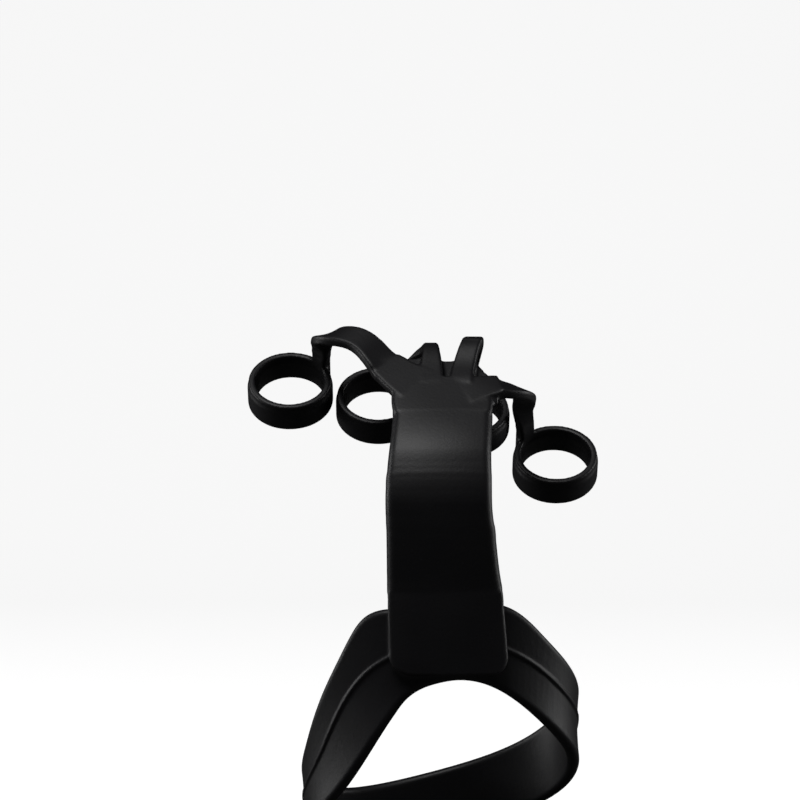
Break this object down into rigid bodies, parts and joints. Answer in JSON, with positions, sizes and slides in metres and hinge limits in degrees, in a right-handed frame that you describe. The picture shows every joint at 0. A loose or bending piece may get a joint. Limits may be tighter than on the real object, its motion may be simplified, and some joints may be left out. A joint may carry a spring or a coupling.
{
  "type": "finger exerciser",
  "caption": "Soft rubber finger exerciser: a wrist band, a broad strap up the back of the hand, a knuckle hub and finger stems ending in loops.",
  "frame": {"origin": "middle of the wrist opening", "axes": "+Z from the wrist to the knuckles, -Y out of the back of the hand, +X towards the little finger"},
  "size_m": [0.0832, 0.0516, 0.1258],
  "materials": {
    "black_silicone": "matte moulded silicone rubber"
  },
  "bodies": {
    "wrist": {"wrist_band": "black_silicone", "strap_foot": "black_silicone", "strap_root": "black_silicone"},
    "strap_low": {"strap_lower": "black_silicone"},
    "strap_high": {"strap_upper": "black_silicone"},
    "hub": {"hub_plate": "black_silicone", "hub_web": "black_silicone"},
    "index_arm": {"index_stem": "black_silicone"},
    "index_ring": {"index_loop": "black_silicone"},
    "middle_arm": {"middle_stem": "black_silicone"},
    "middle_ring": {"middle_loop": "black_silicone"},
    "ring_arm": {"ring_stem": "black_silicone"},
    "ring_ring": {"ring_loop": "black_silicone"},
    "little_arm": {"little_stem": "black_silicone"},
    "little_ring": {"little_loop": "black_silicone"}
  },
  "joints": [
    {"name": "wrist_bend", "type": "hinge", "parent": "wrist", "child": "strap_low", "pos_m": [0, -0.0236, 0.0244], "axis": [1, 0, 0], "range_deg": [-25, 25], "stiffness_Nm_per_rad": 0.05},
    {"name": "strap_stretch", "type": "slide", "parent": "strap_low", "child": "strap_high", "axis": [0, -0.0831, 0.9965], "range_m": [0, 0.012], "stiffness_N_per_m": 400},
    {"name": "knuckle_bend", "type": "hinge", "parent": "strap_high", "child": "hub", "pos_m": [0, -0.0251, 0.0512], "axis": [1, 0, 0], "range_deg": [-20, 30], "stiffness_Nm_per_rad": 0.05},
    {"name": "index_stem_bend", "type": "hinge", "parent": "hub", "child": "index_arm", "pos_m": [-0.0128, -0.0041, 0.07625], "axis": [1, 0, 0], "range_deg": [-10, 45], "stiffness_Nm_per_rad": 0.01},
    {"name": "index_loop_bend", "type": "hinge", "parent": "index_arm", "child": "index_ring", "pos_m": [-0.02828, 0.01267, 0.0783], "axis": [1, 0, 0], "range_deg": [-20, 30], "stiffness_Nm_per_rad": 0.006},
    {"name": "middle_stem_bend", "type": "hinge", "parent": "hub", "child": "middle_arm", "pos_m": [-0.0023, 0.0019, 0.0802], "axis": [1, 0, 0], "range_deg": [-10, 45], "stiffness_Nm_per_rad": 0.01},
    {"name": "middle_loop_bend", "type": "hinge", "parent": "middle_arm", "child": "middle_ring", "pos_m": [-0.00678, 0.01225, 0.07426], "axis": [1, 0, 0], "range_deg": [-20, 30], "stiffness_Nm_per_rad": 0.006},
    {"name": "ring_stem_bend", "type": "hinge", "parent": "hub", "child": "ring_arm", "pos_m": [0.00735, 0.0017, 0.0814], "axis": [1, 0, 0], "range_deg": [-10, 45], "stiffness_Nm_per_rad": 0.01},
    {"name": "ring_loop_bend", "type": "hinge", "parent": "ring_arm", "child": "ring_ring", "pos_m": [0.00673, 0.01465, 0.074], "axis": [1, 0, 0], "range_deg": [-20, 30], "stiffness_Nm_per_rad": 0.006},
    {"name": "little_stem_bend", "type": "hinge", "parent": "hub", "child": "little_arm", "pos_m": [0.01345, -0.00915, 0.0709], "axis": [1, 0, 0], "range_deg": [-10, 45], "stiffness_Nm_per_rad": 0.01},
    {"name": "little_loop_bend", "type": "hinge", "parent": "little_arm", "child": "little_ring", "pos_m": [0.0203, 0.01235, 0.06095], "axis": [1, 0, 0], "range_deg": [-20, 30], "stiffness_Nm_per_rad": 0.006}
  ]
}
